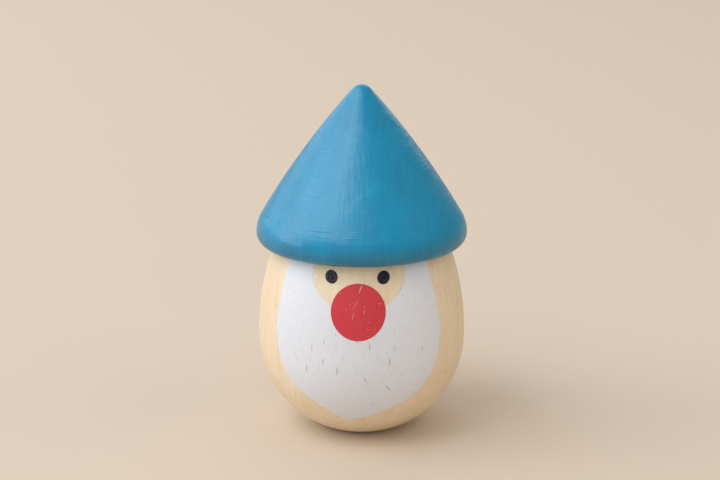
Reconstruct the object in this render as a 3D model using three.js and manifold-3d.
// Tomte gnome figurine: a turned wooden body under a turned cone hat. A glued dowel pins the hat
// to the body, and the beard, nose and eyes are painted on the body.
//
// Millimetres, +Z up. The origin is the centre of the foot, on the surface the figure stands on.
// The face looks along -Y, and left and right are the figure's own, so its left is on +X.

import * as THREE from 'three';
import * as BufferGeometryUtils from 'three/addons/utils/BufferGeometryUtils.js';
import Module from 'manifold-3d';

const wasm = await Module();
wasm.setup();

// Facets round a turned piece, and along each stretch of its profile.

const turnSteps = 72;
const bellySteps = 9;
const shoulderSteps = 7;
const brimSteps = 4;
const flankSteps = 5;
const tipSteps = 4;

// Body: a superellipse from the foot up to the belly, and an ellipse from there to the seat.

const bodyRadius = 24.75;
const footRadius = 9;
const bellyHeight = 23.35;
const bellyFullness = 2.1;
const shoulderRise = 39;
const seatHeight = 45.05;

// Hat: a flat underside, a rolled brim, a flank that swells a little, and a round tip. The brim
// reaches out past the belly by the overhang.

const hatOverhang = 0.25;
const hatHeight = 37.7;
const brimLowerRound = 2.8;
const brimUpperRound = 8;
const flankRound = 195;
const tipRound = 2.8;
const glueLine = 0.1;

// Dowel, and the blind holes that it is glued into.

const dowelDiameter = 8;
const dowelLength = 30;
const dowelChamfer = 0.8;
const fluteCount = 12;
const fluteDepth = 0.3;
const dowelClearance = 0.1;
const holeEndSpace = 1;

// Paint. Two colours that meet leave a hairline, and all of it ends just under the hat.

const paintThickness = 0.15;
const paintGap = 0.05;
const paintHairline = 0.1;
const paintTopMargin = 0.35;
const edgeSteps = 3;
const ovalSteps = 10;

// The face, a bare oval in the beard, the nose and the eyes. Drops are from the seat, and the eyes
// are shifted a little to the figure's right.

const faceHalfWidth = 10.4;
const faceHalfHeight = 8;
const faceDrop = 2.6;

const noseHalfWidth = 6.2;
const noseHalfHeight = 6.4;
const noseDrop = 10.3;

const eyeHalfWidth = 1.4;
const eyeHalfHeight = 1.47;
const eyeSpacing = 11.74;
const eyeShift = -0.25;
const eyeDrop = 2.7;
const eyeTilt = THREE.MathUtils.degToRad(12);

// The beard's edge, in degrees round the body from the middle of the face, and height. It comes
// straight down from under the hat and sweeps in under the belly to the tip, which hangs a little
// to the figure's right.

const beardTopAngles = { right: -50.6, left: 48 };
const beardTip = [-10.4, 7.2];
const beardRightEdge = [[-51.3, 32], [-50.2, 25.5], [-46.2, 20], [-39, 15.4], [-28, 12.1], [-16.5, 9.3]];
const beardLeftEdge = [[49.3, 32], [48.7, 26], [45.2, 20.5], [38, 15.6], [26.5, 12.1], [12, 9.5], [0, 8]];

// Materials

const bareWood = new THREE.MeshStandardMaterial({ color: 0xd8c29c, roughness: 0.65, metalness: 0 });
const dowelWood = new THREE.MeshStandardMaterial({ color: 0xcfae7e, roughness: 0.75, metalness: 0 });
const blueHat = new THREE.MeshStandardMaterial({ color: 0x4695bc, roughness: 0.45, metalness: 0 });
const whitePaint = new THREE.MeshStandardMaterial({ color: 0xd6d3d0, roughness: 0.7, metalness: 0 });
const redPaint = new THREE.MeshStandardMaterial({ color: 0xc14246, roughness: 0.5, metalness: 0 });
const blackPaint = new THREE.MeshStandardMaterial({ color: 0x1c1a1c, roughness: 0.35, metalness: 0 });

// ---- Sizes that follow from those above ----

const hatRadius = bodyRadius + hatOverhang;
const holeRadius = dowelDiameter / 2 + dowelClearance;
const holeDepth = dowelLength / 2 + holeEndSpace;
const bellyDrop = bellyHeight / (1 - (footRadius / bodyRadius) ** bellyFullness) ** (1 / bellyFullness);
const paintReach = 2 * bodyRadius;

// ---- Helpers ----

// Points on a circular arc, both ends included. Angles are from +x towards +y.
function arcPoints(centre, radius, from, to, steps) {
  const points = [];
  for (let i = 0; i <= steps; i += 1) {
    const angle = from + ((to - from) * i) / steps;
    points.push(new THREE.Vector2(
      centre.x + radius * Math.cos(angle),
      centre.y + radius * Math.sin(angle),
    ));
  }
  return points;
}

// A profile of radius and height, turned about +Z.
function turned(profile) {
  return new THREE.LatheGeometry(profile, turnSteps).rotateX(Math.PI / 2);
}

// An outline of x and height, drawn out from the middle plane towards the face side.
function cutter(shape, curveSteps) {
  const geometry = new THREE.ExtrudeGeometry(shape, {
    depth: paintReach,
    bevelEnabled: false,
    curveSegments: curveSteps,
  });
  return solid(geometry.rotateX(Math.PI / 2));
}

function ovalShape(x, height, halfWidth, halfHeight, tilt = 0) {
  return new THREE.Shape().absellipse(x, height, halfWidth, halfHeight, 0, 2 * Math.PI, false, tilt);
}

function solid(geometry) {
  geometry.deleteAttribute('normal');
  geometry.deleteAttribute('uv');
  const merged = BufferGeometryUtils.mergeVertices(geometry);
  const corners = merged.index.array;
  const triVerts = [];
  for (let i = 0; i < corners.length; i += 3) {
    const [a, b, c] = corners.slice(i, i + 3);
    if (a !== b && b !== c && c !== a) triVerts.push(a, b, c);
  }
  return new wasm.Manifold(new wasm.Mesh({
    numProp: 3,
    vertProperties: merged.attributes.position.array,
    triVerts: Uint32Array.from(triVerts),
  }));
}

function geometryOf(manifold) {
  const mesh = manifold.getMesh();
  const geometry = new THREE.BufferGeometry();
  geometry.setAttribute('position', new THREE.BufferAttribute(mesh.vertProperties, mesh.numProp));
  geometry.setIndex(new THREE.BufferAttribute(mesh.triVerts, 1));
  geometry.computeVertexNormals();
  return geometry;
}

function named(name, geometry, material) {
  const mesh = new THREE.Mesh(geometry, material);
  mesh.name = name;
  return mesh;
}

// ---- Body ----

// The body's radius at a height. The superellipse would close at bellyDrop below the belly, and
// the foot cuts it off.
function radiusAt(height) {
  if (height > bellyHeight) {
    return bodyRadius * Math.sqrt(1 - ((height - bellyHeight) / shoulderRise) ** 2);
  }
  const fallen = (bellyHeight - height) / bellyDrop;
  return bodyRadius * (1 - fallen ** bellyFullness) ** (1 / bellyFullness);
}

// The body's outer profile from the edge of the foot up to the edge of the seat, with more points
// where it curves in under the belly.
function bodyProfile() {
  const heights = [];
  const footAngle = Math.asin(bellyHeight / bellyDrop);
  for (let i = 0; i < bellySteps; i += 1) {
    heights.push(bellyHeight - bellyDrop * Math.sin(footAngle * (1 - i / bellySteps)));
  }
  for (let i = 0; i <= shoulderSteps; i += 1) {
    heights.push(bellyHeight + ((seatHeight - bellyHeight) * i) / shoulderSteps);
  }
  return heights.map((height) => new THREE.Vector2(radiusAt(height), height));
}

function body() {
  const profile = [
    new THREE.Vector2(0, 0),
    ...bodyProfile(),
    new THREE.Vector2(holeRadius, seatHeight),
    new THREE.Vector2(holeRadius, seatHeight - holeDepth),
    new THREE.Vector2(0, seatHeight - holeDepth),
  ];
  return named('body', geometryOf(solid(turned(profile))), bareWood);
}

// ---- Hat ----

// The flank is one arc that touches the upper brim round and the tip round, both from outside.
function hatProfile(underside) {
  const brimHeight = underside + brimLowerRound;
  const lowerCentre = new THREE.Vector2(hatRadius - brimLowerRound, brimHeight);
  const upperCentre = new THREE.Vector2(hatRadius - brimUpperRound, brimHeight);
  const tipCentre = new THREE.Vector2(0, underside + hatHeight - tipRound);

  // The flank's centre is flankRound - brimUpperRound from the one and flankRound - tipRound from
  // the other: along the line between the two centres, then square off it towards the axis.
  const toUpper = flankRound - brimUpperRound;
  const toTip = flankRound - tipRound;
  const between = tipCentre.clone().sub(upperCentre);
  const span = between.length();
  const along = (span ** 2 + toUpper ** 2 - toTip ** 2) / (2 * span);
  const off = Math.sqrt(toUpper ** 2 - along ** 2);
  const unit = between.divideScalar(span);
  const inward = new THREE.Vector2(-unit.y, unit.x);
  const flankCentre = upperCentre.clone().addScaledVector(unit, along).addScaledVector(inward, off);
  const brimAngle = upperCentre.clone().sub(flankCentre).angle();
  const tipAngle = tipCentre.clone().sub(flankCentre).angle();

  const lowerArc = arcPoints(lowerCentre, brimLowerRound, -Math.PI / 2, 0, brimSteps);
  const upperArc = arcPoints(upperCentre, brimUpperRound, 0, brimAngle, brimSteps);
  const flank = arcPoints(flankCentre, flankRound, brimAngle, tipAngle, flankSteps);
  const tip = arcPoints(tipCentre, tipRound, tipAngle, Math.PI / 2, tipSteps);
  tip[tipSteps].x = 0;
  return [...lowerArc, ...upperArc.slice(1), ...flank.slice(1), ...tip.slice(1)];
}

function hat() {
  const underside = seatHeight + glueLine;
  const profile = [
    new THREE.Vector2(0, underside + holeDepth),
    new THREE.Vector2(holeRadius, underside + holeDepth),
    new THREE.Vector2(holeRadius, underside),
    ...hatProfile(underside),
  ];
  return named('hat', geometryOf(solid(turned(profile))), blueHat);
}

// ---- Dowel ----

// A fluted rod with chamfered ends, half in the body and half in the hat.
function dowel() {
  const radius = dowelDiameter / 2;
  const fluted = new THREE.Shape();
  for (let i = 0; i < 4 * fluteCount; i += 1) {
    const angle = (i * Math.PI) / (2 * fluteCount);
    const reach = i % 4 < 2 ? radius : radius - fluteDepth;
    const point = [reach * Math.cos(angle), reach * Math.sin(angle)];
    if (i === 0) fluted.moveTo(...point);
    else fluted.lineTo(...point);
  }
  const rod = new THREE.ExtrudeGeometry(fluted, { depth: dowelLength, bevelEnabled: false });
  const blank = turned([
    new THREE.Vector2(0, 0),
    new THREE.Vector2(radius - dowelChamfer, 0),
    new THREE.Vector2(radius + fluteDepth, dowelChamfer + fluteDepth),
    new THREE.Vector2(radius + fluteDepth, dowelLength - dowelChamfer - fluteDepth),
    new THREE.Vector2(radius - dowelChamfer, dowelLength),
    new THREE.Vector2(0, dowelLength),
  ]);
  const geometry = geometryOf(solid(rod).intersect(solid(blank)));
  geometry.translate(0, 0, seatHeight + glueLine / 2 - dowelLength / 2);
  return named('hat_dowel', geometry, dowelWood);
}

// ---- Paint ----

// The body's profile moved out along its own normals.
function profileOutside(distance) {
  const profile = bodyProfile();
  return profile.map((point, i) => {
    const before = profile[Math.max(i - 1, 0)];
    const after = profile[Math.min(i + 1, profile.length - 1)];
    const outward = new THREE.Vector2(after.y - before.y, before.x - after.x).normalize();
    return point.clone().addScaledVector(outward, distance);
  });
}

// A coat of paint all round the body, from the foot to the seat.
function paintCoat() {
  const inner = profileOutside(paintGap);
  const outer = profileOutside(paintGap + paintThickness);
  return solid(turned([...outer, ...inner.reverse(), outer[0]]));
}

// Everything below the line where the paint stops under the hat.
function belowPaintTop() {
  const top = seatHeight - paintTopMargin;
  const shape = new THREE.Shape();
  shape.moveTo(-paintReach, 0);
  shape.lineTo(paintReach, 0);
  shape.lineTo(paintReach, top);
  shape.lineTo(-paintReach, top);
  return cutter(shape, 1);
}

function painted(shape, curveSteps) {
  return paintCoat().intersect(cutter(shape, curveSteps)).intersect(belowPaintTop());
}

// A point on the body, seen from the front.
function frontPoint([degrees, height]) {
  return new THREE.Vector2(radiusAt(height) * Math.sin(THREE.MathUtils.degToRad(degrees)), height);
}

function beardShape() {
  const rightTop = frontPoint([beardTopAngles.right, seatHeight]);
  const leftTop = [beardTopAngles.left, seatHeight];
  const shape = new THREE.Shape();
  shape.moveTo(rightTop.x, rightTop.y);
  shape.splineThru([...beardRightEdge, beardTip].map(frontPoint));
  shape.splineThru([leftTop, ...beardLeftEdge].reverse().map(frontPoint));
  return shape;
}

function beardPaint() {
  const bareFace = ovalShape(0, seatHeight - faceDrop, faceHalfWidth, faceHalfHeight);
  const underNose = ovalShape(
    0,
    seatHeight - noseDrop,
    noseHalfWidth + paintHairline,
    noseHalfHeight + paintHairline,
  );
  const film = painted(beardShape(), edgeSteps)
    .subtract(cutter(bareFace, ovalSteps))
    .subtract(cutter(underNose, ovalSteps));
  return named('beard_paint', geometryOf(film), whitePaint);
}

function nosePaint() {
  const shape = ovalShape(0, seatHeight - noseDrop, noseHalfWidth, noseHalfHeight);
  return named('nose_paint', geometryOf(painted(shape, ovalSteps)), redPaint);
}

function eyePaint(name, side) {
  const x = eyeShift + (side * eyeSpacing) / 2;
  const shape = ovalShape(x, seatHeight - eyeDrop, eyeHalfWidth, eyeHalfHeight, -side * eyeTilt);
  return named(name, geometryOf(painted(shape, ovalSteps)), blackPaint);
}

// ---- Figurine ----

const figurine = new THREE.Group();
figurine.add(
  body(),
  hat(),
  dowel(),
  beardPaint(),
  nosePaint(),
  eyePaint('left_eye_paint', 1),
  eyePaint('right_eye_paint', -1),
);

export default figurine;
